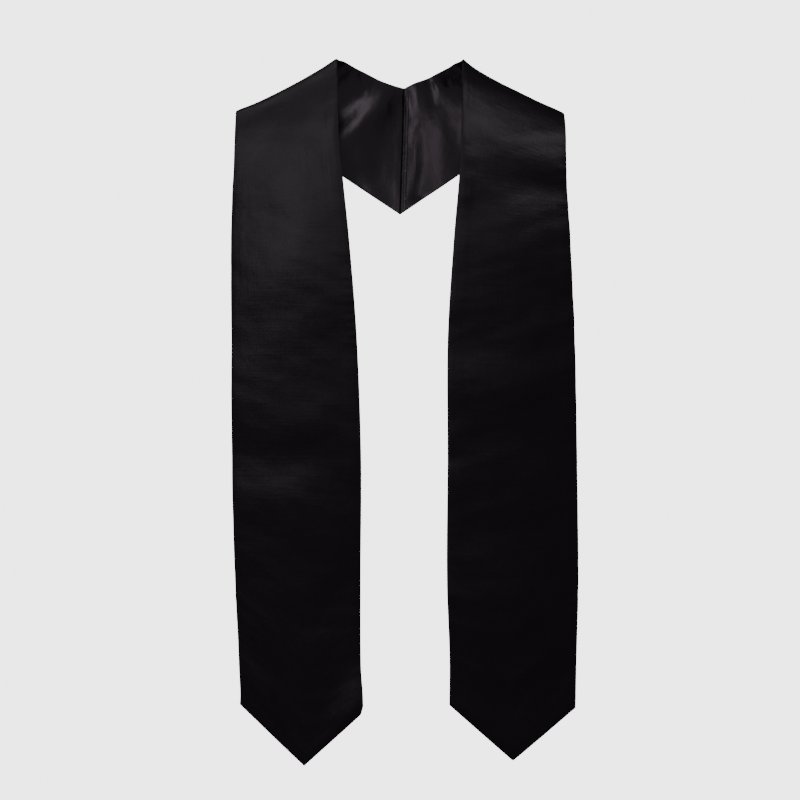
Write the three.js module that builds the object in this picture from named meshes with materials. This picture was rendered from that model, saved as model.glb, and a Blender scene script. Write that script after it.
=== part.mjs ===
// A graduation stole: two long satin strips with pointed ends, joined by a slanted seam at the
// centre of the back, worn over the shoulders so that both ends hang down the front.
// Each strip is an outer face and a lining. The seam allowance at the centre back shows as a raised
// welt on the lining. Millimetres, +Z up, the front looks along -Y, and the origin lies between the
// two neck points, where the stole sits at the sides of the wearer's neck.
import * as THREE from "three";

// Driving dimensions
const panelWidth = 140; // widest part of a front panel
const frontLength = 714.2; // neck point down to the corners above a panel's point
const pointDepth = 63; // corners down to the tip
const neckHalfWidth = 69.8; // middle of the neck to a neck point
const shoulderSpan = 113.1; // neck point out to the shoulder corner
const shoulderFall = 58.3; // neck point down to the shoulder corner
const napeDrop = 26.2; // neck points down to the neck edge at the centre back
const backSeamLength = 142.3; // centre back seam, measured straight down
const seamLean = 4.5; // top of the back seam off the middle
const chestDepth = 74; // shoulder ridge forward to the hanging front panels
const backDepth = 66; // shoulder ridge back to the yoke
const chestSlope = 0.25; // run forward for each millimetre down, where the chest begins
const leftRidgeRadius = 4; // roll of the cloth over each shoulder, front half
const rightRidgeRadius = 7;
const backRidgeRadius = 28; // roll of the cloth over both shoulders, back half
const chestWrap = 14; // a panel's outer edge set back from its inner edge
const panelBow = 2.5; // swell of a panel's middle in front of its edges
const yokeSwell = 2; // height of the soft folds inside the yoke
const clothThickness = 1; // one layer of satin with its stiffening
const layerGap = 0.3; // between the face and the lining, and between the two halves
const weltWidth = 6.2; // pressed seam allowance beside the back seam
const weltHeight = 1.3;
const weltStart = 9; // neck edge down to the top of the welt

// Mesh density
const frontRows = 48;
const yokeRows = 14;
const columns = 10;
const weltRows = 12;

// Each half's front panel, from the shoulder ridge down. It hangs plumb from the shoulder corner:
// `down` is a share of frontLength, and `outward` (the outer edge from below that corner) and
// `width` are shares of panelWidth.
const leftPanel = [
  { down: 0, outward: 0, width: shoulderSpan / panelWidth },
  { down: 0.118, outward: 0.004, width: 0.827 },
  { down: 0.188, outward: 0.014, width: 0.872 },
  { down: 0.287, outward: 0.019, width: 0.93 },
  { down: 0.44, outward: 0.011, width: 0.983 },
  { down: 0.622, outward: 0.005, width: 1.01 },
  { down: 0.805, outward: -0.02, width: 0.981 },
  { down: 0.927, outward: -0.05, width: 0.954 },
  { down: 0.985, outward: -0.062, width: 0.96 },
  { down: 1, outward: -0.059, width: 0.945 },
];
const rightPanel = [
  { down: 0, outward: 0, width: shoulderSpan / panelWidth },
  { down: 0.118, outward: 0.004, width: 0.829 },
  { down: 0.188, outward: 0.013, width: 0.857 },
  { down: 0.287, outward: 0.029, width: 0.917 },
  { down: 0.44, outward: 0.059, width: 0.995 },
  { down: 0.622, outward: 0.075, width: 1.012 },
  { down: 0.805, outward: 0.084, width: 1.027 },
  { down: 0.927, outward: 0.069, width: 0.991 },
  { down: 1, outward: 0.061, width: 0.985 },
];

// The line of each shoulder ridge, from the neck point (0) to the shoulder corner (1). `fall` is a
// share of shoulderFall, and both ridges sag a little between their ends.
const leftRidge = [
  { across: 0, fall: 0 },
  { across: 0.15, fall: 0.184 },
  { across: 0.35, fall: 0.407 },
  { across: 0.55, fall: 0.613 },
  { across: 0.75, fall: 0.803 },
  { across: 1, fall: 1.009 },
];
const rightRidge = [
  { across: 0, fall: 0 },
  { across: 0.06, fall: 0.105 },
  { across: 0.15, fall: 0.224 },
  { across: 0.35, fall: 0.444 },
  { across: 0.55, fall: 0.641 },
  { across: 0.75, fall: 0.829 },
  { across: 1, fall: 1.05 },
];

// The pointed ends: how far each corner and the tip lie below frontLength, as shares of pointDepth,
// and where the tip stands across the panel.
const leftPoint = { innerCorner: 0.11, tip: 1.006, outerCorner: -0.03, tipAcross: 0.466 };
const rightPoint = { innerCorner: -0.043, tip: 0.922, outerCorner: 0.03, tipAcross: 0.501 };

// Each half of the yoke, from the shoulder ridge to the centre back seam. `neckFall` and `hemFall`
// are the shares of their whole fall that the neck edge and the lower edge have made.
const leftYoke = [
  { along: 0, neckFall: 0, hemFall: 0 },
  { along: 0.11, neckFall: 0.03, hemFall: 0.09 },
  { along: 0.27, neckFall: 0.23, hemFall: 0.235 },
  { along: 0.45, neckFall: 0.45, hemFall: 0.405 },
  { along: 0.63, neckFall: 0.685, hemFall: 0.598 },
  { along: 0.82, neckFall: 0.87, hemFall: 0.805 },
  { along: 1, neckFall: 1, hemFall: 1 },
];
const rightYoke = [
  { along: 0, neckFall: 0, hemFall: 0 },
  { along: 0.11, neckFall: 0.065, hemFall: 0.09 },
  { along: 0.27, neckFall: 0.25, hemFall: 0.235 },
  { along: 0.45, neckFall: 0.445, hemFall: 0.405 },
  { along: 0.63, neckFall: 0.64, hemFall: 0.598 },
  { along: 0.82, neckFall: 0.79, hemFall: 0.805 },
  { along: 1, neckFall: 1, hemFall: 1 },
];

// Soft swells (depth above 0) and dents of the hanging panels. `down` and `long` are shares of
// frontLength, `across` and `wide` of the strip's width, and `depth` of panelBow.
const leftDents = [
  { down: 0.25, across: 0.65, long: 0.05, wide: 0.45, depth: -0.3 },
  { down: 0.34, across: 0.6, long: 0.05, wide: 0.45, depth: 0.4 },
  { down: 0.45, across: 0.2, long: 0.05, wide: 0.4, depth: -0.6 },
  { down: 0.625, across: 0.75, long: 0.04, wide: 0.5, depth: -0.8 },
  { down: 0.69, across: 0.7, long: 0.05, wide: 0.5, depth: 0.7 },
  { down: 0.83, across: 0.1, long: 0.04, wide: 0.3, depth: -0.6 },
  { down: 0.985, across: 0, long: 0.04, wide: 0.28, depth: 2.6 },
];
const rightDents = [
  { down: 0.1, across: 0.5, long: 0.05, wide: 0.6, depth: 0.7 },
  { down: 0.172, across: 0.65, long: 0.035, wide: 0.5, depth: -1.3 },
  { down: 0.27, across: 0.7, long: 0.05, wide: 0.5, depth: 0.5 },
  { down: 0.45, across: 0.2, long: 0.05, wide: 0.5, depth: -0.6 },
  { down: 0.51, across: 0.4, long: 0.05, wide: 0.5, depth: 0.6 },
  { down: 0.59, across: 0.6, long: 0.05, wide: 0.7, depth: -0.7 },
  { down: 0.72, across: 0.3, long: 0.05, wide: 0.5, depth: -0.5 },
  { down: 0.82, across: 0.3, long: 0.05, wide: 0.5, depth: 0.6 },
  { down: 0.94, across: 0.6, long: 0.04, wide: 0.6, depth: -0.6 },
];

// The same inside the yoke, where `along` and `long` are shares of the way from the ridge to the
// seam, and `depth` of yokeSwell
const leftYokeDents = [
  { along: 0.3, across: 0.6, long: 0.2, wide: 0.3, depth: 0.5 },
  { along: 0.75, across: 0.75, long: 0.15, wide: 0.3, depth: -0.5 },
];
const rightYokeDents = [
  { along: 0.2, across: 0.14, long: 0.08, wide: 0.14, depth: -0.8 },
  { along: 0.5, across: 0.1, long: 0.09, wide: 0.15, depth: 0.8 },
  { along: 0.88, across: 0.65, long: 0.06, wide: 0.25, depth: 0.7 },
];

// Straight folds across the yoke, as they are seen from the front. Their ends lie `side` of the
// middle and `down` from the neck points. Those and `wide` are shares of backSeamLength, `depth` is
// a share of yokeSwell, and `ease` widens the lower flank.
const leftFolds = [
  { fromSide: 0.04, fromDown: 0.285, toSide: 0.556, toDown: 0.668, wide: 0.15, ease: 2, depth: -4 },
];
const rightFolds = [
  { fromSide: 0.42, fromDown: 1, toSide: 0.58, toDown: 0.89, wide: 0.42, ease: 1, depth: -5 },
];

const halves = {
  left: {
    side: -1,
    ridgeRadius: leftRidgeRadius,
    panel: leftPanel,
    ridge: leftRidge,
    point: leftPoint,
    yoke: leftYoke,
    dents: leftDents,
    yokeDents: leftYokeDents,
    folds: leftFolds,
  },
  right: {
    side: 1,
    ridgeRadius: rightRidgeRadius,
    panel: rightPanel,
    ridge: rightRidge,
    point: rightPoint,
    yoke: rightYoke,
    dents: rightDents,
    yokeDents: rightYokeDents,
    folds: rightFolds,
  },
};

// The welt's section away from the seam: shares of weltWidth and weltHeight
const weltSection = [
  { across: 0, height: 0.7 },
  { across: 0.2, height: 1 },
  { across: 0.5, height: 0.88 },
  { across: 0.8, height: 0.68 },
  { across: 1, height: 0.42 },
];

// Where the rows crowd together to follow the roll of the cloth over the shoulder
const frontCrowding = 0.34;
const yokeCrowding = 0.5;
// The share of frontLength over which a panel's rows take the shape of its point
const pointBlend = 0.3;
// The share of frontLength over which the rows turn level and the chest's wrap sets in
const levelBlend = 0.3;
// The shares of the yoke over which the ridge's sag runs out, its swells die out at the ridge and
// at the seam, and its straight folds at the seam
const sagBlend = 0.5;
const seamBlend = 0.12;
const foldBlend = 0.45;
// The share of the welt's length over which it rises from half its height at either end
const weltRise = 0.12;

function clamp01(value) {
  return Math.min(1, Math.max(0, value));
}

function smooth(value) {
  const t = clamp01(value);
  return t * t * (3 - 2 * t);
}

// A smooth value at `t` through the rows of a table, by cubic pieces from row to row
function through(rows, key, column, t) {
  const last = rows.length - 1;
  let i = 0;
  while (i < last - 1 && t > rows[i + 1][key]) i += 1;
  const slope = (a, b) => (rows[b][column] - rows[a][column]) / (rows[b][key] - rows[a][key]);
  const span = rows[i + 1][key] - rows[i][key];
  const startSlope = slope(Math.max(i - 1, 0), i + 1);
  const endSlope = slope(i, Math.min(i + 2, last));
  const f = (t - rows[i][key]) / span;
  const rise = rows[i + 1][column] - rows[i][column];
  const swing = (1 - f) * (startSlope * span - rise) - f * (endSlope * span - rise);
  return rows[i][column] + f * rise + f * (1 - f) * swing;
}

// Even steps, but for a quadratic start that packs the rows by the ridge
function crowded(t, crowding) {
  const grown = t < crowding ? (t * t) / (2 * crowding) : t - crowding / 2;
  return grown / (1 - crowding / 2);
}

// Depth of the wearer's surface at a drop below the shoulder ridge: round on top, then sloping, then
// upright
function bodyDepth(drop, depth, ridgeRadius, slope) {
  const below = Math.max(drop, 0);
  return depth * Math.tanh((Math.sqrt(2 * ridgeRadius * below) + slope * below) / depth);
}

// Height of the shoulder ridge at a distance from the middle, carried on straight past both its ends
function ridgeHeight(half, fromMiddle) {
  const across = (fromMiddle - neckHalfWidth) / shoulderSpan;
  const onRidge = clamp01(across);
  const fall = through(half.ridge, "across", "fall", onRidge) + across - onRidge;
  return -fall * shoulderFall;
}

// How far the ridge lies below a straight line from the neck point to shoulderFall
function ridgeSag(half, across) {
  return (through(half.ridge, "across", "fall", across) - across) * shoulderFall;
}

// The swells and dents of a table at a place, in shares of their height
function swellAt(dents, key, place, across) {
  let total = 0;
  for (const dent of dents) {
    const along = (place - dent[key]) / dent.long;
    const sideways = (across - dent.across) / dent.wide;
    total += dent.depth * Math.exp(-along * along - sideways * sideways);
  }
  return total;
}

// The straight folds at a place beside the middle and down from the neck points
function foldAt(folds, side, down) {
  let total = 0;
  for (const fold of folds) {
    const runSide = fold.toSide - fold.fromSide;
    const runDown = fold.toDown - fold.fromDown;
    const run = Math.hypot(runSide, runDown);
    const besideStart = side - fold.fromSide;
    const belowStart = down - fold.fromDown;
    const t = clamp01((besideStart * runSide + belowStart * runDown) / (run * run));
    const off = Math.hypot(besideStart - t * runSide, belowStart - t * runDown);
    const isBelow = belowStart * runSide - besideStart * runDown > 0;
    const reach = fold.wide * (isBelow ? fold.ease : 1);
    total += fold.depth * Math.exp(-((off / reach) ** 2));
  }
  return total;
}

// How far below frontLength the pointed end reaches, as a share of pointDepth
function pointReach(point, across) {
  const { innerCorner, tip, outerCorner, tipAcross } = point;
  if (across < tipAcross) return innerCorner + ((tip - innerCorner) * across) / tipAcross;
  return outerCorner + ((tip - outerCorner) * (1 - across)) / (1 - tipAcross);
}

// A point of a front panel: `t` runs from the ridge (0) to the point (1), `across` from the inner
// edge (0) to the outer edge (1)
function panelPoint(half, t, across) {
  const down = crowded(t, frontCrowding);
  const outward = through(half.panel, "down", "outward", down) * panelWidth;
  const width = through(half.panel, "down", "width", down) * panelWidth;
  const fromMiddle = neckHalfWidth + shoulderSpan + outward - (1 - across) * width;
  const level = smooth(down / levelBlend);
  const slanted = (1 - level) * (across * shoulderFall + ridgeSag(half, across));
  const toPoint = smooth((down - 1 + pointBlend) / pointBlend);
  const pointed = toPoint * pointReach(half.point, across) * pointDepth;
  const z = -down * frontLength - slanted - pointed;
  const drop = ridgeHeight(half, fromMiddle) - z;
  const bow = 4 * across * (1 - across);
  const dents = swellAt(half.dents, "down", down, across);
  const forward = (bow + dents) * panelBow - across * across * chestWrap;
  const y = -bodyDepth(drop, chestDepth, half.ridgeRadius, chestSlope) - level * forward;
  return new THREE.Vector3(half.side * fromMiddle, y, z);
}

// A point of the yoke: `t` runs from the ridge (0) to the centre back seam (1)
function yokePoint(half, t, across) {
  const along = crowded(t, yokeCrowding);
  const neckZ = -napeDrop * through(half.yoke, "along", "neckFall", along);
  const hemDrop = napeDrop + backSeamLength - shoulderFall;
  const hemZ = -shoulderFall - hemDrop * through(half.yoke, "along", "hemFall", along);
  const sag = ridgeSag(half, across) * smooth(1 - along / sagBlend);
  const z = neckZ + across * (hemZ - neckZ) - sag;
  const fromMiddle = (1 - along) * (neckHalfWidth + across * shoulderSpan);
  const drop = ridgeHeight(half, fromMiddle) - z;
  const offRidge = smooth(along / seamBlend);
  const dents = swellAt(half.yokeDents, "along", along, across) * smooth((1 - along) / seamBlend);
  const foldsHere = foldAt(half.folds, fromMiddle / backSeamLength, -z / backSeamLength);
  const folds = foldsHere * smooth((1 - along) / foldBlend);
  const swell = (dents + folds) * yokeSwell * offRidge;
  const y = bodyDepth(drop, backDepth, backRidgeRadius, 0) + swell;
  const lean = seamLean * along * (1 - across);
  return new THREE.Vector3(half.side * fromMiddle + lean, y, z);
}

// The strip's middle surface. `row` runs from -1 at the back seam through 0 at the ridge to 1.
function stripPoint(half, row, across) {
  return row < 0 ? yokePoint(half, -row, across) : panelPoint(half, row, across);
}

// The plane that the two halves meet in: it holds the back seam and the Y axis
const seamPlaneNormal = new THREE.Vector3(backSeamLength, 0, -seamLean).normalize();

// The direction away from the wearer
function outerNormal(half, row, across) {
  const step = 1e-3;
  const at = (r, a) => stripPoint(half, Math.max(-1, Math.min(1, r)), clamp01(a));
  const alongRows = at(row + step, across).sub(at(row - step, across));
  const acrossStrip = at(row, across + step).sub(at(row, across - step));
  const normal = alongRows.cross(acrossStrip).multiplyScalar(half.side);
  if (row === -1) normal.addScaledVector(seamPlaneNormal, -normal.dot(seamPlaneNormal));
  return normal.normalize();
}

function offsetPoint(half, row, across, offset) {
  const point = stripPoint(half, row, across);
  point.addScaledVector(outerNormal(half, row, across), offset);
  if (row === -1) point.addScaledVector(seamPlaneNormal, (half.side * layerGap) / 2);
  return point;
}

// A closed shell between two grids of points, given as inner[row][column] and outer[row][column]
function shellGeometry(inner, outer, side) {
  const rows = inner.length;
  const cols = inner[0].length;
  const positions = [...inner.flat(), ...outer.flat()].flatMap((p) => [p.x, p.y, p.z]);
  const index = [];
  const id = (layer, r, c) => layer * rows * cols + r * cols + c;
  const quad = (a, b, c, d) => {
    if (side > 0) index.push(a, c, b, a, d, c);
    else index.push(a, b, c, a, c, d);
  };
  for (let r = 0; r < rows - 1; r += 1) {
    for (let c = 0; c < cols - 1; c += 1) {
      quad(id(1, r, c), id(1, r, c + 1), id(1, r + 1, c + 1), id(1, r + 1, c));
      quad(id(0, r, c), id(0, r + 1, c), id(0, r + 1, c + 1), id(0, r, c + 1));
    }
    quad(id(0, r, 0), id(1, r, 0), id(1, r + 1, 0), id(0, r + 1, 0));
    const end = cols - 1;
    quad(id(0, r + 1, end), id(1, r + 1, end), id(1, r, end), id(0, r, end));
  }
  for (let c = 0; c < cols - 1; c += 1) {
    quad(id(0, 0, c + 1), id(1, 0, c + 1), id(1, 0, c), id(0, 0, c));
    const end = rows - 1;
    quad(id(0, end, c), id(1, end, c), id(1, end, c + 1), id(0, end, c + 1));
  }
  const geometry = new THREE.BufferGeometry();
  geometry.setAttribute("position", new THREE.Float32BufferAttribute(positions, 3));
  geometry.setIndex(index);
  geometry.computeVertexNormals();
  return geometry;
}

// Columns across the strip, with one of them on the line of the tip
function columnPlaces(half) {
  const places = [];
  const toTip = Math.round(columns * half.point.tipAcross);
  for (let c = 0; c <= toTip; c += 1) places.push((half.point.tipAcross * c) / toTip);
  for (let c = 1; c <= columns - toTip; c += 1) {
    places.push(half.point.tipAcross + ((1 - half.point.tipAcross) * c) / (columns - toTip));
  }
  return places;
}

function rowPlaces() {
  const places = [];
  for (let r = -yokeRows; r < 0; r += 1) places.push(r / yokeRows);
  for (let r = 0; r <= frontRows; r += 1) places.push(r / frontRows);
  return places;
}

function grid(half, offset) {
  return rowPlaces().map((row) =>
    columnPlaces(half).map((across) => offsetPoint(half, row, across, offset)),
  );
}

const innerFaceOffset = layerGap / 2;
const outerFaceOffset = innerFaceOffset + clothThickness;

function faceLayer(half) {
  return shellGeometry(grid(half, innerFaceOffset), grid(half, outerFaceOffset), half.side);
}

function liningLayer(half) {
  return shellGeometry(grid(half, -outerFaceOffset), grid(half, -innerFaceOffset), half.side);
}

// The welt lies on the lining of the right half, along the back seam
function seamWelt() {
  const half = halves.right;
  const baseOffset = -outerFaceOffset - layerGap;
  const start = weltStart / backSeamLength;
  const end = 1 - weltHeight / backSeamLength;
  const base = [];
  const crown = [];
  for (let r = 0; r <= weltRows; r += 1) {
    const share = r / weltRows;
    const across = start + share * (end - start);
    const reach = neckHalfWidth + across * shoulderSpan;
    const rise = 0.5 + 0.5 * smooth(Math.min(share, 1 - share) / weltRise);
    const rowAt = (place) => {
      const along = 1 - (layerGap + weltWidth * place) / reach;
      return -(along * (1 - yokeCrowding / 2) + yokeCrowding / 2);
    };
    base.push(weltSection.map((s) => offsetPoint(half, rowAt(s.across), across, baseOffset)));
    crown.push(
      weltSection.map((s) => {
        const offset = baseOffset - weltHeight * s.height * rise;
        return offsetPoint(half, rowAt(s.across), across, offset);
      }),
    );
  }
  return shellGeometry(crown, base, -half.side);
}

const satinColour = 0x0c0a0c;
const faceSatin = new THREE.MeshStandardMaterial({
  color: satinColour,
  roughness: 0.42,
  metalness: 0,
});
const liningSatin = new THREE.MeshStandardMaterial({
  color: satinColour,
  roughness: 0.34,
  metalness: 0,
});

function part(name, geometry, material) {
  const mesh = new THREE.Mesh(geometry, material);
  mesh.name = name;
  return mesh;
}

const stole = new THREE.Group();
for (const [name, half] of Object.entries(halves)) {
  stole.add(part(`${name}_face`, faceLayer(half), faceSatin));
  stole.add(part(`${name}_lining`, liningLayer(half), liningSatin));
}
stole.add(part("back_seam_welt", seamWelt(), liningSatin));

export default stole;
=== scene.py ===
import bpy
import numpy as np
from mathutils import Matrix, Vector


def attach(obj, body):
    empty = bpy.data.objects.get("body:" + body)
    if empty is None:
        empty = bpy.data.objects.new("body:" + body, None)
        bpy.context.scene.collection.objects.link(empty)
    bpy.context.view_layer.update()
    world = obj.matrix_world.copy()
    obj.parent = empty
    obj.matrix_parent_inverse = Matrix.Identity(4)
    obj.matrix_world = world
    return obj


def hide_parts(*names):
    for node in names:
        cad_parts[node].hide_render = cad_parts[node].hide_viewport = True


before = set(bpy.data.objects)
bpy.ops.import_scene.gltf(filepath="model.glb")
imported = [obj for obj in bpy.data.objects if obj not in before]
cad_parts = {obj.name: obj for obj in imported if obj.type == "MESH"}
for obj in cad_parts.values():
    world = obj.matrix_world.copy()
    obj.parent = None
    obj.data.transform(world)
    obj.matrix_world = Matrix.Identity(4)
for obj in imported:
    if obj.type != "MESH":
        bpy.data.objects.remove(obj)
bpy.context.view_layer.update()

# Camera
# Level, straight in front, at half the stole's height, as the photograph was taken. The view is
# view_width wide at a distance of view_depth.
camera_distance = 2.676
camera_height = -0.3802
sensor_width_mm = 36
view_width = 0.868
view_depth = 2.6

camera_data = bpy.data.cameras.new("camera")
camera_data.sensor_width = sensor_width_mm
camera_data.lens = sensor_width_mm * view_depth / view_width
camera_data.clip_start = 0.05
camera_data.clip_end = 50
camera = bpy.data.objects.new("camera", camera_data)
camera.location = (0, -camera_distance, camera_height)
camera.rotation_euler = (np.pi / 2, 0, 0)
bpy.context.scene.collection.objects.link(camera)
bpy.context.scene.camera = camera

# Floor and backdrop
# A round cove of glowing white paper: a flat floor below the stole that curves up into a wall. It
# throws no light on the cloth, as flags would keep it off in a studio, so the black stays black.
floor_height = -0.83
cove_radius = 6.0
cove_bend = 1.5
cove_wall = 4.5
cove_hole = 0.001
cove_sides = 96
cove_bend_steps = 17
paper_white = (0.9, 0.9, 0.9, 1)
paper_glow = 4.0

bend = np.linspace(0, np.pi / 2, cove_bend_steps)
cove_line = [(cove_hole, floor_height)]
cove_line += [
    (cove_radius - cove_bend * (1 - np.sin(a)), floor_height + cove_bend * (1 - np.cos(a)))
    for a in bend
]
cove_line.append((cove_radius, floor_height + cove_wall))
turns = np.linspace(0, 2 * np.pi, cove_sides, endpoint=False)
cove_points = [(r * np.cos(t), r * np.sin(t), z) for r, z in cove_line for t in turns]
cove_faces = [
    (i * cove_sides + j, i * cove_sides + k, (i + 1) * cove_sides + k, (i + 1) * cove_sides + j)
    for i in range(len(cove_line) - 1)
    for j, k in zip(range(cove_sides), [*range(1, cove_sides), 0])
]
cove_mesh = bpy.data.meshes.new("paper_cove")
cove_mesh.from_pydata(cove_points, [], cove_faces)
cove_mesh.polygons.foreach_set("use_smooth", [True] * len(cove_faces))
cove = bpy.data.objects.new("paper_cove", cove_mesh)
cove.visible_diffuse = False
cove.visible_glossy = False
bpy.context.scene.collection.objects.link(cove)
paper = bpy.data.materials.new("white paper")
paper.use_nodes = True
paper_shader = paper.node_tree.nodes["Principled BSDF"]
paper_shader.inputs["Base Color"].default_value = paper_white
paper_shader.inputs["Roughness"].default_value = 0.9
paper_shader.inputs["Specular IOR Level"].default_value = 0.1
paper_shader.inputs["Emission Color"].default_value = paper_white
paper_shader.inputs["Emission Strength"].default_value = paper_glow
cove_mesh.materials.append(paper)

# Studio lights
# Soft boxes, each with a place, a size in metres and a power in watts. Where "only" is given, flags
# keep its light off all but that collection: the tall one on the left lights the two faces, the one
# behind lights the stole but not the floor, and three weak ones light the lining of one yoke half.
soft_boxes = {
    "high_left": {"at": (-1.3, -2.3, 1.3), "size": (1.1, 2.4), "watts": 18, "only": "faces"},
    "high_right": {"at": (1.35, -1.95, 2.15), "size": (1.4, 1.1), "watts": 16},
    "top_left": {"at": (-1.1, -0.1, 2.3), "size": (1.2, 1.2), "watts": 6},
    "front": {"at": (0, -3.1, 1.0), "size": (1.5, 1.2), "watts": 5},
    "behind": {"at": (0.7, 2.4, -0.5), "size": (1.2, 0.8), "watts": 6, "only": "stole"},
    "yoke_left": {"at": (-0.3, -2.4, -0.1), "size": (0.55, 1), "watts": 2.2, "only": "left_yoke"},
    "yoke_right": {"at": (-0.74, -2.28, -0.14), "size": (0.5, 0.35), "watts": 0.68, "only": "right_yoke"},
    "yoke_low": {"at": (0.33, -2.3, -0.7), "size": (0.85, 0.6), "watts": 2.2, "only": "right_yoke"},
}
aim_height = -0.15
room_tint = (1, 0.95, 1, 1)
room_front_glow = 0.2
room_back_glow = 0.06
lit_alone = {
    name: bpy.data.collections.new(name) for name in ("stole", "faces", "left_yoke", "right_yoke")
}

for name, box in soft_boxes.items():
    light = bpy.data.lights.new(name, "AREA")
    light.shape = "RECTANGLE"
    light.size, light.size_y = box["size"]
    light.energy = box["watts"]
    holder = bpy.data.objects.new(name, light)
    holder.location = box["at"]
    holder.visible_camera = False
    to_aim = Vector((0, 0, aim_height)) - Vector(box["at"])
    holder.rotation_euler = to_aim.to_track_quat("-Z", "Y").to_euler()
    if "only" in box:
        holder.light_linking.receiver_collection = lit_alone[box["only"]]
    bpy.context.scene.collection.objects.link(holder)

world = bpy.data.worlds.new("studio")
world.use_nodes = True
room = world.node_tree.nodes["Background"]
room.inputs["Color"].default_value = room_tint
way = world.node_tree.nodes.new("ShaderNodeTexCoord")
parts = world.node_tree.nodes.new("ShaderNodeSeparateXYZ")
fall = world.node_tree.nodes.new("ShaderNodeMapRange")
fall.inputs["From Min"].default_value = -0.3
fall.inputs["From Max"].default_value = 0.5
fall.inputs["To Min"].default_value = room_front_glow
fall.inputs["To Max"].default_value = room_back_glow
world.node_tree.links.new(way.outputs["Generated"], parts.inputs["Vector"])
world.node_tree.links.new(parts.outputs["Y"], fall.inputs["Value"])
world.node_tree.links.new(fall.outputs["Result"], room.inputs["Strength"])
bpy.context.scene.world = world

# Left face
# The outer satin layer of the strip on the left: from the centre back seam over the shoulder and
# down to its pointed end. Cut on the length, sewn to its lining all round, and turned out.
panel_width = 0.140
front_length = 0.7142
point_depth = 0.063
neck_half_width = 0.0698
shoulder_span = 0.1131
shoulder_fall = 0.0583
nape_drop = 0.0262
back_seam_length = 0.1423
seam_lean = 0.0045
chest_depth = 0.074
back_depth = 0.066
chest_slope = 0.25
left_ridge_radius = 0.004
back_ridge_radius = 0.028
chest_wrap = 0.014
panel_bow = 0.0025
yoke_swell = 0.002
cloth_thickness = 0.001
layer_gap = 0.0003
edge_roll = 0.0012
thin_edge = 0.0005
level_blend = 0.3
point_blend = 0.3
sag_blend = 0.5
seam_blend = 0.12
fold_blend = 0.45


def table(names, *rows):
    """A table with named columns, kept as one array for each column."""
    return dict(zip(names.split(), np.array(rows, dtype=float).T))


left_half = {
    "side": -1,
    "seed": 11,
    "ridge_radius": left_ridge_radius,
    "point": {"inner_corner": 0.11, "tip": 1.006, "outer_corner": -0.03, "tip_across": 0.466},
    "panel": table(
        "down outward width",
        (0, 0, shoulder_span / panel_width),
        (0.118, 0.004, 0.827),
        (0.188, 0.014, 0.872),
        (0.287, 0.019, 0.93),
        (0.44, 0.011, 0.983),
        (0.622, 0.005, 1.01),
        (0.805, -0.02, 0.981),
        (0.927, -0.05, 0.954),
        (0.985, -0.062, 0.96),
        (1, -0.059, 0.945),
    ),
    "ridge": table(
        "across fall", (0, 0), (0.15, 0.184), (0.35, 0.407), (0.55, 0.613), (0.75, 0.803), (1, 1.009)
    ),
    "yoke": table(
        "along neck_fall hem_fall",
        (0, 0, 0),
        (0.11, 0.03, 0.09),
        (0.27, 0.23, 0.235),
        (0.45, 0.45, 0.405),
        (0.63, 0.685, 0.598),
        (0.82, 0.87, 0.805),
        (1, 1, 1),
    ),
    "dents": table(
        "place across long wide depth",
        (0.25, 0.65, 0.05, 0.45, -0.3),
        (0.34, 0.6, 0.05, 0.45, 0.4),
        (0.45, 0.2, 0.05, 0.4, -0.6),
        (0.625, 0.75, 0.04, 0.5, -0.8),
        (0.69, 0.7, 0.05, 0.5, 0.7),
        (0.83, 0.1, 0.04, 0.3, -0.6),
        (0.985, 0, 0.04, 0.28, 2.6),
    ),
    "yoke_dents": table(
        "place across long wide depth",
        (0.3, 0.6, 0.2, 0.3, 0.5),
        (0.75, 0.75, 0.15, 0.3, -0.5),
    ),
    "folds": table(
        "from_side from_down to_side to_down wide ease depth",
        (0.04, 0.285, 0.556, 0.668, 0.15, 2, -4),
    ),
    "creases": table(
        "x0 z0 x1 z1 width end_share height back",
        (-0.05, -0.014, -0.048, -0.032, 0.005, 0.6, -0.0007, 1),
        (-0.038, -0.016, -0.036, -0.032, 0.004, 0.6, -0.0005, 1),
        (-0.033, -0.155, -0.044, -0.111, 0.014, 1, -0.0014, 1),
    ),
}


def smooth(value):
    """A soft step from 0 to 1."""
    t = np.clip(value, 0, 1)
    return t * t * (3 - 2 * t)


def through(rows, key, column, at):
    """Smooth values at the places `at` through a table's rows, by cubic pieces."""
    keys, values = rows[key], rows[column]
    i = np.clip(np.searchsorted(keys, at, side="left") - 1, 0, len(keys) - 2)
    ahead = np.minimum(np.arange(len(keys)) + 1, len(keys) - 1)
    behind = np.maximum(np.arange(len(keys)) - 1, 0)
    slopes = (values[ahead] - values[behind]) / (keys[ahead] - keys[behind])
    span = keys[i + 1] - keys[i]
    rise = values[i + 1] - values[i]
    f = (at - keys[i]) / span
    swing = (1 - f) * (slopes[i] * span - rise) - f * (slopes[i + 1] * span - rise)
    return values[i] + f * rise + f * (1 - f) * swing


def body_depth(drop, depth, ridge_radius, slope):
    """How far the cloth lies in front of the ridge or behind it: round on top, sloping, upright."""
    below = np.maximum(drop, 0)
    return depth * np.tanh((np.sqrt(2 * ridge_radius * below) + slope * below) / depth)


def ridge_height(half, from_middle):
    """Height of the shoulder line, from the neck points, carried on straight past both its ends."""
    across = (from_middle - neck_half_width) / shoulder_span
    on_ridge = np.clip(across, 0, 1)
    return -(through(half["ridge"], "across", "fall", on_ridge) + across - on_ridge) * shoulder_fall


def ridge_sag(half, across):
    """How far the shoulder line lies below a straight one."""
    return (through(half["ridge"], "across", "fall", across) - across) * shoulder_fall


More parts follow.
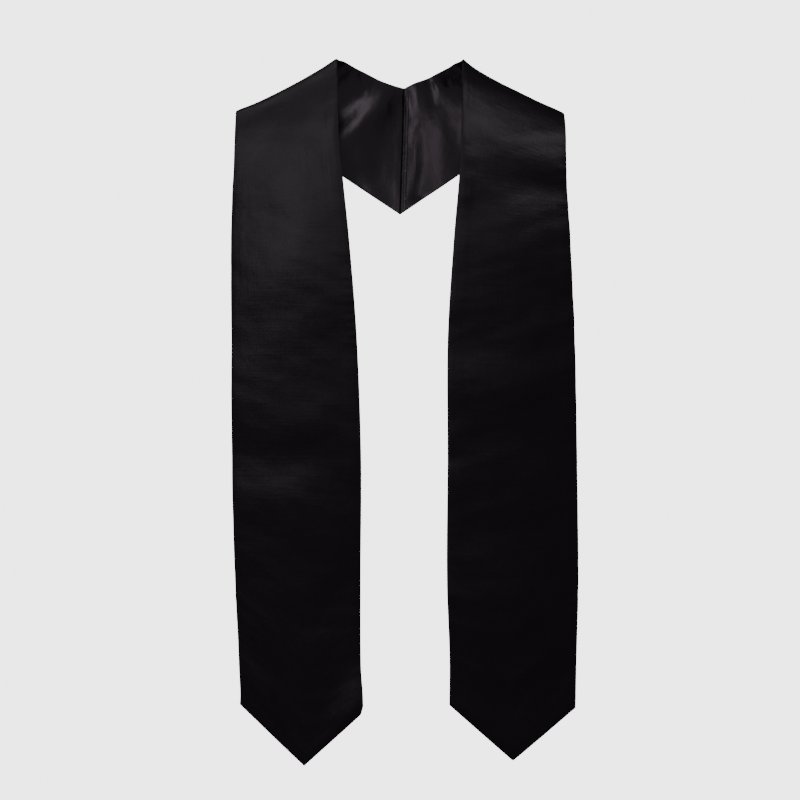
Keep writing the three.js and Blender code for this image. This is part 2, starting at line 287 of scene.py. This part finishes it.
def swell(dents, place, across):
    """The soft dents and swells of a table, added up."""
    total = 0
    for dent_place, dent_across, long, wide, depth in zip(*dents.values()):
        along = (place - dent_place) / long
        sideways = (across - dent_across) / wide
        total = total + depth * np.exp(-along * along - sideways * sideways)
    return total


def fold_at(folds, side, down):
    """The straight folds at a place beside the middle and down from the neck points."""
    total = np.zeros(np.broadcast(side, down).shape)
    for from_side, from_down, to_side, to_down, wide, ease, depth in zip(*folds.values()):
        run_side = to_side - from_side
        run_down = to_down - from_down
        beside = side - from_side
        below = down - from_down
        t = np.clip((beside * run_side + below * run_down) / (run_side**2 + run_down**2), 0, 1)
        off = np.hypot(beside - t * run_side, below - t * run_down)
        is_below = below * run_side - beside * run_down > 0
        reach = wide * np.where(is_below, ease, 1)
        total += depth * np.exp(-((off / reach) ** 2))
    return total


def panel_points(half, down, across):
    """Points of a front panel's middle surface, at shares of its length and width."""
    outward = through(half["panel"], "down", "outward", down) * panel_width
    width = through(half["panel"], "down", "width", down) * panel_width
    from_middle = neck_half_width + shoulder_span + outward - (1 - across) * width
    level = smooth(down / level_blend)
    slanted = (1 - level) * (across * shoulder_fall + ridge_sag(half, across))
    point = half["point"]
    at_tip = point["tip_across"]
    inner, outer = point["inner_corner"], point["outer_corner"]
    inner_part = inner + (point["tip"] - inner) * across / at_tip
    outer_part = outer + (point["tip"] - outer) * (1 - across) / (1 - at_tip)
    reach = np.where(across < at_tip, inner_part, outer_part)
    pointed = smooth((down - 1 + point_blend) / point_blend) * reach * point_depth
    z = -down * front_length - slanted - pointed
    drop = ridge_height(half, from_middle) - z
    bow = 4 * across * (1 - across)
    forward = (bow + swell(half["dents"], down, across)) * panel_bow - across * across * chest_wrap
    y = -body_depth(drop, chest_depth, half["ridge_radius"], chest_slope) - level * forward
    return np.stack([half["side"] * from_middle, y, z], axis=-1)


def yoke_points(half, along, across):
    """Points of the back yoke's middle surface, from the ridge (0) to the back seam (1)."""
    neck_z = -nape_drop * through(half["yoke"], "along", "neck_fall", along)
    hem_drop = nape_drop + back_seam_length - shoulder_fall
    hem_z = -shoulder_fall - hem_drop * through(half["yoke"], "along", "hem_fall", along)
    sag = ridge_sag(half, across) * smooth(1 - along / sag_blend)
    z = neck_z + across * (hem_z - neck_z) - sag
    from_middle = (1 - along) * (neck_half_width + across * shoulder_span)
    drop = ridge_height(half, from_middle) - z
    dents = swell(half["yoke_dents"], along, across) * smooth((1 - along) / seam_blend)
    folds = fold_at(half["folds"], from_middle / back_seam_length, -z / back_seam_length)
    folds = folds * smooth((1 - along) / fold_blend)
    forward = (dents + folds) * yoke_swell * smooth(along / seam_blend)
    y = body_depth(drop, back_depth, back_ridge_radius, 0) + forward
    x = half["side"] * from_middle + seam_lean * along * (1 - across)
    return np.stack([x, y, z], axis=-1)


# The places of the mesh's rows and columns: even, but for the rounded edges, where the first few
# lie close together, and for the shoulder ridge, where the rows crowd to follow the roll
panel_rows = 372
yoke_rows = 104
columns = 70
edge_steps = np.array([0, 0.08, 0.28, 0.6, 1]) * edge_roll
ridge_crowding = 0.06
least_step = 1e-4


def crowded(t):
    """Even places made to start close together."""
    grown = np.where(t < ridge_crowding, t * t / (2 * ridge_crowding), t - ridge_crowding / 2)
    return grown / (1 - ridge_crowding / 2)


def strip_places():
    """Rows from the back seam (-1) through the ridge (0) to the point (1), and columns across."""
    down = crowded(np.linspace(0, 1, panel_rows))
    last = 1 - edge_steps / front_length
    down = np.concatenate([down[down < last[-1] - least_step], last[::-1]])
    along = crowded(np.linspace(0, 1, yoke_rows))[1:]
    seam = 1 - edge_steps / shoulder_span
    along = np.concatenate([along[along < seam[-1] - least_step], seam[::-1]])
    edge = edge_steps / panel_width
    inside = np.linspace(edge[-1], 1 - edge[-1], columns)[1:-1]
    across = np.concatenate([edge, inside, 1 - edge[::-1]])
    return np.concatenate([-along[::-1], down]), across


row_places, column_places = strip_places()


def strip_surface(half):
    """The strip's middle surface and its outward normals, as grids of rows and columns."""
    down = np.maximum(row_places, 0)[:, None]
    along = np.maximum(-row_places, 0)[:, None]
    across = column_places[None, :]
    on_yoke = (row_places < 0)[:, None, None]
    points = np.where(on_yoke, yoke_points(half, along, across), panel_points(half, down, across))
    rows_way = np.gradient(points, axis=0)
    columns_way = np.gradient(points, axis=1)
    normals = half["side"] * np.cross(rows_way, columns_way)
    normals /= np.linalg.norm(normals, axis=-1, keepdims=True)
    return points, normals


def cloth_size(points):
    """Metres along the strip and across it at each grid point, as if it lay flat."""
    along = np.linalg.norm(np.diff(points[:, points.shape[1] // 2], axis=0), axis=-1)
    across = np.linalg.norm(np.diff(points, axis=1), axis=-1)
    v = np.concatenate([[0], np.cumsum(along)])[:, None] + np.zeros(points.shape[:2])
    u = np.concatenate([np.zeros((len(points), 1)), np.cumsum(across, axis=1)], axis=1)
    return u, v


def edge_distance(u, v):
    """How far each grid point lies from the nearest sewn edge."""
    return np.minimum(np.minimum(u, u[:, -1:] - u), np.minimum(v, v[-1:] - v))


def shell_mesh(name, outer, inner, u, v, flip):
    """A closed sheet between two grids, with its cloth coordinates in metres as a UV map."""
    top = np.arange(u.size).reshape(u.shape)
    under = top + u.size

    def quads(a, b, c, d):
        return np.stack([a.ravel(), b.ravel(), c.ravel(), d.ravel()], axis=1)

    faces = np.concatenate(
        [
            quads(top[:-1, :-1], top[1:, :-1], top[1:, 1:], top[:-1, 1:]),
            quads(under[:-1, :-1], under[:-1, 1:], under[1:, 1:], under[1:, :-1]),
            quads(top[1:, 0], top[:-1, 0], under[:-1, 0], under[1:, 0]),
            quads(top[:-1, -1], top[1:, -1], under[1:, -1], under[:-1, -1]),
            quads(top[0, :-1], top[0, 1:], under[0, 1:], under[0, :-1]),
            quads(top[-1, 1:], top[-1, :-1], under[-1, :-1], under[-1, 1:]),
        ]
    )
    if flip:
        faces = faces[:, ::-1]
    mesh = bpy.data.meshes.new(name)
    mesh.from_pydata(np.concatenate([outer.reshape(-1, 3), inner.reshape(-1, 3)]), [], faces.tolist())
    flat = np.stack([np.concatenate([u.ravel()] * 2), np.concatenate([v.ravel()] * 2)], axis=1)
    uv = mesh.uv_layers.new(name="cloth")
    uv.data.foreach_set("uv", flat[faces.ravel()].ravel().astype(np.float32))
    mesh.polygons.foreach_set("use_smooth", [True] * len(faces))
    mesh.update()
    return mesh


noise_turns = 2.2
cloud_waves = 16


def soft_noise(u, v, seed, size, waves=cloud_waves):
    """Smooth, cloudy noise of about -1 to 1 over the cloth, from waves in seeded directions. `size`
    is how far apart its clouds lie across the strip and along it."""
    across_size, along_size = size
    rng = np.random.default_rng(seed)
    total = np.zeros(v.shape)
    for _ in range(waves):
        turn_u, turn_v = rng.normal(size=2) * noise_turns
        total += np.cos(u * turn_u / across_size + v * turn_v / along_size + rng.uniform(0, 2 * np.pi))
    return total * np.sqrt(2 / waves)


crease_side_blend = 0.01


def crease_relief(creases, points):
    """Soft ridges along short lines, placed as they are seen from the front, with heights counted
    outwards. A crease keeps `end_share` of its height at its end, and lies only on the yoke, where
    `back` is 1, or only on the panel, where it is -1."""
    total = np.zeros(points.shape[:2])
    x, y, z = points[..., 0], points[..., 1], points[..., 2]
    for x0, z0, x1, z1, width, end_share, height, back in zip(*creases.values()):
        length_squared = (x1 - x0) ** 2 + (z1 - z0) ** 2
        t = np.clip(((x - x0) * (x1 - x0) + (z - z0) * (z1 - z0)) / length_squared, 0, 1)
        off = np.hypot(x - x0 - t * (x1 - x0), z - z0 - t * (z1 - z0))
        on_side = smooth((y * back) / crease_side_blend)
        total += height * (1 + (end_share - 1) * t) * np.exp(-((off / width) ** 2)) * on_side
    return total


cloud_height = 0.0003
cloud_size = (0.075, 0.05)
ripple_height = 0.0001
ripple_size = (0.02, 0.014)
dimple_height = 0.00003
dimple_size = (0.009, 0.006)
fine_waves = 24
calm_share = 0.4
calm_length = 0.2
calm_blend = 0.05
pucker_height = 0.00014
pucker_reach = 0.011
pucker_size = 0.0085
pucker_waves = 10
bunch_size = 0.05
bunch_waves = 6
bunch_lift = 0.3
bunch_most = 1.2


def strip_relief(half, points, u, v):
    """The strip's own unevenness: clouds, calmer over the yoke's part of the strip, ripples, puckers
    that come in bunches along its sewn edges, and creases."""
    seed = half["seed"]
    calm = calm_share + (1 - calm_share) * smooth((v - calm_length) / calm_blend)
    clouds = soft_noise(u, v, seed, cloud_size) * cloud_height * calm
    ripples = soft_noise(u, v, seed + 1, ripple_size, fine_waves) * ripple_height
    dimples = soft_noise(u, v, seed + 2, dimple_size, fine_waves) * dimple_height
    puckers = np.zeros(u.shape)
    sewn_edges = (u, seed + 3, seed + 5), (u[:, -1:] - u, seed + 4, seed + 6)
    for from_edge, pucker_seed, bunch_seed in sewn_edges:
        along_edge = soft_noise(0, v, pucker_seed, (1, pucker_size), pucker_waves)
        bunches = soft_noise(0, v, bunch_seed, (1, bunch_size), bunch_waves)
        bunched = np.clip(bunches + bunch_lift, 0, bunch_most)
        puckers += along_edge * bunched * np.exp(-((from_edge / pucker_reach) ** 2))
    creases = crease_relief(half["creases"], points)
    return clouds + ripples + dimples + puckers * pucker_height + creases


allowance_width = 0.0125
allowance_height = 0.00016
allowance_blend = 0.006
puff_height = 0.0003
puff_size = (0.05, 0.04)


def layer_grids(half, facing):
    """A layer's outer and inner surface, with the normals between them and the cloth's own places.
    The layer puffs up a little away from the other one. `facing` is 1 for the outer face, which
    also shows the turned allowances inside its edges, and -1 for the lining."""
    points, normals = strip_surface(half)
    u, v = cloth_size(points)
    surface = points + normals * strip_relief(half, points, u, v)[..., None]
    from_edge = edge_distance(u, v)
    rounded = np.sqrt(1 - (1 - np.clip(from_edge / edge_roll, 0, 1)) ** 2)
    height = thin_edge + (cloth_thickness - thin_edge) * rounded
    turned_in = 1 - smooth((from_edge - allowance_width) / allowance_blend)
    allowance = allowance_height * turned_in * (facing > 0)
    puff = puff_height * np.clip(0.5 + 0.5 * soft_noise(u, v, half["seed"] + 7, puff_size), 0, 1)
    apart = (allowance + puff) * smooth(from_edge / allowance_blend)
    inner = surface + facing * normals * (layer_gap / 2 + apart)[..., None]
    outer = surface + facing * normals * (layer_gap / 2 + apart + height)[..., None]
    return outer, inner, normals, u, v


def layer_piece(name, half, facing):
    """One layer of a strip as an object of its own."""
    outer, inner, _, u, v = layer_grids(half, facing)
    mesh = shell_mesh(name, outer, inner, u, v, flip=half["side"] * facing < 0)
    piece = bpy.data.objects.new(name, mesh)
    bpy.context.scene.collection.objects.link(piece)
    return piece


# Threads and slubs in each metre across the strip and along it, and their share of the bump
warp_count = (1700, 260)
weft_count = (240, 1500)
slub_count = (420, 24)
cross_slub_count = (30, 380)
slub_share = 2.5
thread_detail = 2
wear_count = (28, 17)
wear_detail = 3
wear_roughness = 0.03
thread_tones = (0.8, 1.2)


def satin(name, colour, shine, roughness, grain):
    """Black satin: warp floats along the strip, the weft across it, and a slightly uneven sheen."""
    material = bpy.data.materials.new(name)
    material.use_nodes = True
    nodes, links = material.node_tree.nodes, material.node_tree.links
    shader = nodes["Principled BSDF"]
    shader.inputs["Specular IOR Level"].default_value = shine
    shader.inputs["Specular Tint"].default_value = (1, 0.86, 1, 1)
    shader.inputs["Sheen Weight"].default_value = 0.02
    shader.inputs["Sheen Roughness"].default_value = 0.35
    cloth = nodes.new("ShaderNodeUVMap")
    cloth.uv_map = "cloth"

    def threads(count, detail=thread_detail):
        stretch = nodes.new("ShaderNodeMapping")
        stretch.inputs["Scale"].default_value = (*count, 1)
        links.new(cloth.outputs["UV"], stretch.inputs["Vector"])
        noise = nodes.new("ShaderNodeTexNoise")
        noise.inputs["Scale"].default_value = 1
        noise.inputs["Detail"].default_value = detail
        links.new(stretch.outputs["Vector"], noise.inputs["Vector"])
        return noise.outputs["Fac"]

    def added(first, second):
        both = nodes.new("ShaderNodeMath")
        both.operation = "ADD"
        links.new(first, both.inputs[0])
        links.new(second, both.inputs[1])
        return both.outputs["Value"]

    warp = threads(warp_count)
    weft = threads(weft_count)
    slubs = threads(slub_count)
    cross_slubs = threads(cross_slub_count)
    weave = nodes.new("ShaderNodeMath")
    weave.operation = "MULTIPLY_ADD"
    weave.inputs[1].default_value = slub_share
    links.new(added(slubs, cross_slubs), weave.inputs[0])
    links.new(added(warp, weft), weave.inputs[2])
    bump = nodes.new("ShaderNodeBump")
    bump.inputs["Strength"].default_value = grain
    bump.inputs["Distance"].default_value = 0.0001
    links.new(weave.outputs["Value"], bump.inputs["Height"])
    links.new(bump.outputs["Normal"], shader.inputs["Normal"])

    uneven = nodes.new("ShaderNodeMapRange")
    uneven.inputs["From Min"].default_value = 0.3
    uneven.inputs["From Max"].default_value = 0.7
    uneven.inputs["To Min"].default_value = roughness - wear_roughness
    uneven.inputs["To Max"].default_value = roughness + wear_roughness
    links.new(threads(wear_count, wear_detail), uneven.inputs["Value"])
    links.new(uneven.outputs["Result"], shader.inputs["Roughness"])

    tones = nodes.new("ShaderNodeMix")
    tones.data_type = "RGBA"
    for end, share in zip("AB", thread_tones):
        tones.inputs[end].default_value = (*(channel * share for channel in colour), 1)
    links.new(weft, tones.inputs["Factor"])
    links.new(tones.outputs["Result"], shader.inputs["Base Color"])
    return material


face_satin = satin("face satin", colour=(0.0026, 0.0021, 0.0027), shine=0.28, roughness=0.38, grain=0.5)


def light_with(piece, *names):
    """Adds the piece to the collections that some soft boxes light alone."""
    for name in names:
        lit_alone[name].objects.link(piece)


left_face = layer_piece("left_face_satin", left_half, 1)
left_face.data.materials.append(face_satin)
light_with(left_face, "stole", "faces")
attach(left_face, "root")
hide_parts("left_face")

# Left lining
# The inner layer of the same strip, of a smoother and brighter satin. It is cut to the same shape and
# sewn in along every edge, and inside the yoke it is what shows.
lining_satin = satin("lining satin", colour=(0.006, 0.0048, 0.0062), shine=0.8, roughness=0.26, grain=0.3)
left_lining = layer_piece("left_lining_satin", left_half, -1)
left_lining.data.materials.append(lining_satin)
light_with(left_lining, "stole", "left_yoke")
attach(left_lining, "root")
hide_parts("left_lining")

# Right face
# The outer layer of the strip on the right, of the same satin as the left face, cut and sewn the same
# way. It rolls over the shoulder in a rounder fold and hangs at a slant of its own.
right_ridge_radius = 0.007
right_half = {
    "side": 1,
    "seed": 29,
    "ridge_radius": right_ridge_radius,
    "point": {"inner_corner": -0.043, "tip": 0.922, "outer_corner": 0.03, "tip_across": 0.501},
    "panel": table(
        "down outward width",
        (0, 0, shoulder_span / panel_width),
        (0.118, 0.004, 0.829),
        (0.188, 0.013, 0.857),
        (0.287, 0.029, 0.917),
        (0.44, 0.059, 0.995),
        (0.622, 0.075, 1.012),
        (0.805, 0.084, 1.027),
        (0.927, 0.069, 0.991),
        (1, 0.061, 0.985),
    ),
    "ridge": table(
        "across fall",
        (0, 0),
        (0.06, 0.105),
        (0.15, 0.224),
        (0.35, 0.444),
        (0.55, 0.641),
        (0.75, 0.829),
        (1, 1.05),
    ),
    "yoke": table(
        "along neck_fall hem_fall",
        (0, 0, 0),
        (0.11, 0.065, 0.09),
        (0.27, 0.25, 0.235),
        (0.45, 0.445, 0.405),
        (0.63, 0.64, 0.598),
        (0.82, 0.79, 0.805),
        (1, 1, 1),
    ),
    "dents": table(
        "place across long wide depth",
        (0.1, 0.5, 0.05, 0.6, 0.7),
        (0.172, 0.65, 0.035, 0.5, -1.3),
        (0.27, 0.7, 0.05, 0.5, 0.5),
        (0.45, 0.2, 0.05, 0.5, -0.6),
        (0.51, 0.4, 0.05, 0.5, 0.6),
        (0.59, 0.6, 0.05, 0.7, -0.7),
        (0.72, 0.3, 0.05, 0.5, -0.5),
        (0.82, 0.3, 0.05, 0.5, 0.6),
        (0.94, 0.6, 0.04, 0.6, -0.6),
    ),
    "yoke_dents": table(
        "place across long wide depth",
        (0.2, 0.14, 0.08, 0.14, -0.8),
        (0.5, 0.1, 0.09, 0.15, 0.8),
        (0.88, 0.65, 0.06, 0.25, 0.7),
    ),
    "folds": table(
        "from_side from_down to_side to_down wide ease depth",
        (0.42, 1, 0.58, 0.89, 0.42, 1, -5),
    ),
    "creases": table(
        "x0 z0 x1 z1 width end_share height back",
        (0.0065, -0.024, 0.015, -0.064, 0.007, 0.8, -0.0012, 1),
        (0.023, -0.145, 0.0247, -0.066, 0.012, 0.1, -0.0034, 1),
        (0.006, -0.036, 0.007, -0.08, 0.008, 0.4, -0.0014, 1),
        (0.033, -0.012, 0.038, -0.042, 0.006, 0.7, -0.0011, 1),
        (0.056, -0.005, 0.055, -0.021, 0.004, 0.6, -0.0012, 1),
        (0.065, -0.001, 0.062, -0.02, 0.003, 0.6, -0.0009, 1),
        (0.07, -0.001, 0.071, -0.02, 0.003, 0.6, -0.0009, 1),
        (0.085, -0.138, 0.069, -0.062, 0.019, 0.7, -0.0032, 1),
        (0.112, -0.098, 0.19, -0.086, 0.015, 1, 0.0017, -1),
        (0.095, -0.168, 0.19, -0.155, 0.024, 1, -0.0017, -1),
        (0.064, -0.112, 0.078, -0.116, 0.008, 0.7, 0.0006, -1),
        (0.062, -0.136, 0.075, -0.139, 0.008, 0.7, 0.0006, -1),
        (0.061, -0.158, 0.072, -0.16, 0.007, 0.7, 0.0005, -1),
    ),
}
right_face = layer_piece("right_face_satin", right_half, 1)
right_face.data.materials.append(face_satin)
light_with(right_face, "stole", "faces")
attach(right_face, "root")
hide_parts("right_face")

# Right lining
# The inner layer of the right strip, of the lining satin, sewn in along every edge. Gathers fan out
# in it from the back seam and from the neck point.
right_lining = layer_piece("right_lining_satin", right_half, -1)
right_lining.data.materials.append(lining_satin)
light_with(right_lining, "stole", "right_yoke")
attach(right_lining, "root")
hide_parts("right_lining")

# Back seam welt
# The seam allowances of the centre back, pressed to the right and held down by a row of small
# stitches. They show as a narrow rounded ridge on the lining, with a second rib along the seam.
welt_width = 0.0062
welt_height = 0.0013
welt_start = 0.009
welt_rise = 0.12
welt_end_share = 0.5
welt_gap = 0.0002
welt_unevenness = 0.07
welt_uneven_size = (3, 0.004)
welt_waves = 12
welt_seed = 41
welt_rows = 150
welt_columns = 30
welt_section = table(
    "across height",
    (0, 0.6),
    (0.05, 0.86),
    (0.14, 0.95),
    (0.3, 0.98),
    (0.38, 0.86),
    (0.46, 0.99),
    (0.6, 1),
    (0.8, 0.97),
    (0.92, 0.86),
    (1, 0.5),
)


def beside_seam(grid, from_seam, across):
    """Values of a yoke's grid at distances from the back seam, in a row for each of the shares across
    the strip, which run down the seam."""
    column = np.interp(across, column_places, np.arange(len(column_places)))
    low = np.floor(column).astype(int).clip(0, len(column_places) - 2)
    part = (column - low)[None, :, None]
    lines = grid[:, low] * (1 - part) + grid[:, low + 1] * part
    rows = []
    for i, share in enumerate(across):
        reach = neck_half_width + share * shoulder_span
        at = from_seam / reach - 1
        rows.append(np.stack([np.interp(at, row_places, lines[:, i, k]) for k in range(3)], axis=-1))
    return np.array(rows)


lining_outer, _, lining_normals, _, _ = layer_grids(right_half, -1)
share_down = np.linspace(0, 1, welt_rows)
welt_length = back_seam_length - welt_height - welt_start
welt_across = (welt_start + share_down * welt_length) / back_seam_length
place = 0.5 - 0.5 * np.cos(np.linspace(0, np.pi, welt_columns))
from_seam = layer_gap + place * welt_width
lining_here = beside_seam(lining_outer, from_seam, welt_across)
inwards = -beside_seam(lining_normals, from_seam, welt_across)
inwards /= np.linalg.norm(inwards, axis=-1, keepdims=True)
down_seam, beside = np.meshgrid(share_down * back_seam_length, place, indexing="ij")
crown = through(welt_section, "across", "height", beside)
from_end = np.minimum(share_down, 1 - share_down)[:, None]
ends = welt_end_share + (1 - welt_end_share) * smooth(from_end / welt_rise)
unevenness = welt_unevenness * soft_noise(beside, down_seam, welt_seed, welt_uneven_size, welt_waves)
bulge = welt_height * crown * ends * (1 + unevenness)
welt_base = lining_here + inwards * welt_gap
welt_crown = welt_base + inwards * bulge[..., None]
welt_u = beside * welt_width
welt_mesh = shell_mesh("back_seam_welt_satin", welt_crown, welt_base, welt_u, down_seam, flip=False)
back_seam_welt = bpy.data.objects.new("back_seam_welt_satin", welt_mesh)
back_seam_welt.data.materials.append(lining_satin)
bpy.context.scene.collection.objects.link(back_seam_welt)
light_with(back_seam_welt, "stole", "right_yoke")
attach(back_seam_welt, "root")
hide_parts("back_seam_welt")

# Back seam stitches
# A row of short black thread stitches along the groove between the welt's two ribs. Each is a
# small rounded bar, set along the groove's line by Geometry Nodes.
stitch_pitch = 0.0028
stitch_length = 0.0021
stitch_slant = 0.12
stitch_seed = 5
stitch_sides = 10
stitch_rings = 8
thread_radius = 0.00018
thread_lift = 0.6
groove_place = 0.38
sewn_rows = slice(3, -3)

thread = bpy.data.materials.new("stitch thread")
thread.use_nodes = True
thread_shader = thread.node_tree.nodes["Principled BSDF"]
thread_shader.inputs["Base Color"].default_value = (0.012, 0.01, 0.0125, 1)
thread_shader.inputs["Roughness"].default_value = 0.4
thread_shader.inputs["Specular IOR Level"].default_value = 0.6
twist_place = thread.node_tree.nodes.new("ShaderNodeTexCoord")
twist = thread.node_tree.nodes.new("ShaderNodeTexWave")
twist.bands_direction = "DIAGONAL"
twist.inputs["Scale"].default_value = 1100
twist_bump = thread.node_tree.nodes.new("ShaderNodeBump")
twist_bump.inputs["Strength"].default_value = 0.4
twist_bump.inputs["Distance"].default_value = 0.0001
thread.node_tree.links.new(twist_place.outputs["Object"], twist.inputs["Vector"])
thread.node_tree.links.new(twist.outputs["Fac"], twist_bump.inputs["Height"])
thread.node_tree.links.new(twist_bump.outputs["Normal"], thread_shader.inputs["Normal"])

groove = np.argmin(np.abs(place - groove_place))
groove_line = welt_crown[sewn_rows, groove] + inwards[sewn_rows, groove] * thread_radius * thread_lift
groove_mesh = bpy.data.meshes.new("groove_line")
groove_mesh.from_pydata(groove_line, [(i, i + 1) for i in range(len(groove_line) - 1)], [])
groove_object = bpy.data.objects.new("groove_line", groove_mesh)
bpy.context.scene.collection.objects.link(groove_object)

row_of_stitches = bpy.data.node_groups.new("row of stitches", "GeometryNodeTree")
stitch_sockets = row_of_stitches.interface
stitch_sockets.new_socket("Line", in_out="INPUT", socket_type="NodeSocketGeometry")
stitch_sizes = {
    "Stitch pitch": stitch_pitch,
    "Stitch length": stitch_length,
    "Thread radius": thread_radius,
    "Slant": stitch_slant,
}
size_inputs = {
    name: stitch_sockets.new_socket(name, in_out="INPUT", socket_type="NodeSocketFloat")
    for name in stitch_sizes
}
stitch_sockets.new_socket("Stitches", in_out="OUTPUT", socket_type="NodeSocketGeometry")


def stitch_node(kind, **settings):
    node = row_of_stitches.nodes.new(kind)
    for key, value in settings.items():
        setattr(node, key, value)
    return node


def stitch_link(source, target):
    row_of_stitches.links.new(source, target)


entry = stitch_node("NodeGroupInput")
leave = stitch_node("NodeGroupOutput")
to_curve = stitch_node("GeometryNodeMeshToCurve")
spaced = stitch_node("GeometryNodeResampleCurve", mode="LENGTH")
tangent = stitch_node("GeometryNodeInputTangent")
along_line = stitch_node("FunctionNodeAlignRotationToVector", axis="Z")
slant = stitch_node("FunctionNodeRandomValue", data_type="FLOAT")
slant.inputs["Seed"].default_value = stitch_seed
slant_low = stitch_node("ShaderNodeMath", operation="MULTIPLY")
slant_low.inputs[1].default_value = -1
tilt = stitch_node("ShaderNodeCombineXYZ")
tilted = stitch_node("FunctionNodeRotateRotation", rotation_space="LOCAL")
bar = stitch_node("GeometryNodeMeshUVSphere")
bar.inputs["Segments"].default_value = stitch_sides
bar.inputs["Rings"].default_value = stitch_rings
bar.inputs["Radius"].default_value = 1
half_length = stitch_node("ShaderNodeMath", operation="MULTIPLY")
half_length.inputs[1].default_value = 0.5
bar_size = stitch_node("ShaderNodeCombineXYZ")
placed = stitch_node("GeometryNodeInstanceOnPoints")
real = stitch_node("GeometryNodeRealizeInstances")
finish = stitch_node("GeometryNodeSetMaterial")
finish.inputs["Material"].default_value = thread

stitch_link(entry.outputs["Line"], to_curve.inputs["Mesh"])
stitch_link(to_curve.outputs["Curve"], spaced.inputs["Curve"])
stitch_link(entry.outputs["Stitch pitch"], spaced.inputs["Length"])
stitch_link(tangent.outputs["Tangent"], along_line.inputs["Vector"])
# The random value's plain numbers are its inputs 2, the lowest, and 3, the highest, and its output 1
stitch_link(entry.outputs["Slant"], slant_low.inputs[0])
stitch_link(slant_low.outputs["Value"], slant.inputs[2])
stitch_link(entry.outputs["Slant"], slant.inputs[3])
stitch_link(slant.outputs[1], tilt.inputs["X"])
stitch_link(along_line.outputs["Rotation"], tilted.inputs["Rotation"])
stitch_link(tilt.outputs["Vector"], tilted.inputs["Rotate By"])
stitch_link(entry.outputs["Thread radius"], bar_size.inputs["X"])
stitch_link(entry.outputs["Thread radius"], bar_size.inputs["Y"])
stitch_link(entry.outputs["Stitch length"], half_length.inputs[0])
stitch_link(half_length.outputs["Value"], bar_size.inputs["Z"])
stitch_link(spaced.outputs["Curve"], placed.inputs["Points"])
stitch_link(bar.outputs["Mesh"], placed.inputs["Instance"])
stitch_link(tilted.outputs["Rotation"], placed.inputs["Rotation"])
stitch_link(bar_size.outputs["Vector"], placed.inputs["Scale"])
stitch_link(placed.outputs["Instances"], real.inputs["Geometry"])
stitch_link(real.outputs["Geometry"], finish.inputs["Geometry"])
stitch_link(finish.outputs["Geometry"], leave.inputs["Stitches"])

sewing = groove_object.modifiers.new("sewing", "NODES")
sewing.node_group = row_of_stitches
for name, size in stitch_sizes.items():
    sewing[size_inputs[name].identifier] = size
sewn = bpy.context.evaluated_depsgraph_get()
stitch_mesh = bpy.data.meshes.new_from_object(groove_object.evaluated_get(sewn), depsgraph=sewn)
stitch_mesh.name = "back_seam_stitches"
back_seam_stitches = bpy.data.objects.new("back_seam_stitches", stitch_mesh)
bpy.context.scene.collection.objects.link(back_seam_stitches)
light_with(back_seam_stitches, "stole", "right_yoke")
bpy.data.objects.remove(groove_object)
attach(back_seam_stitches, "root")
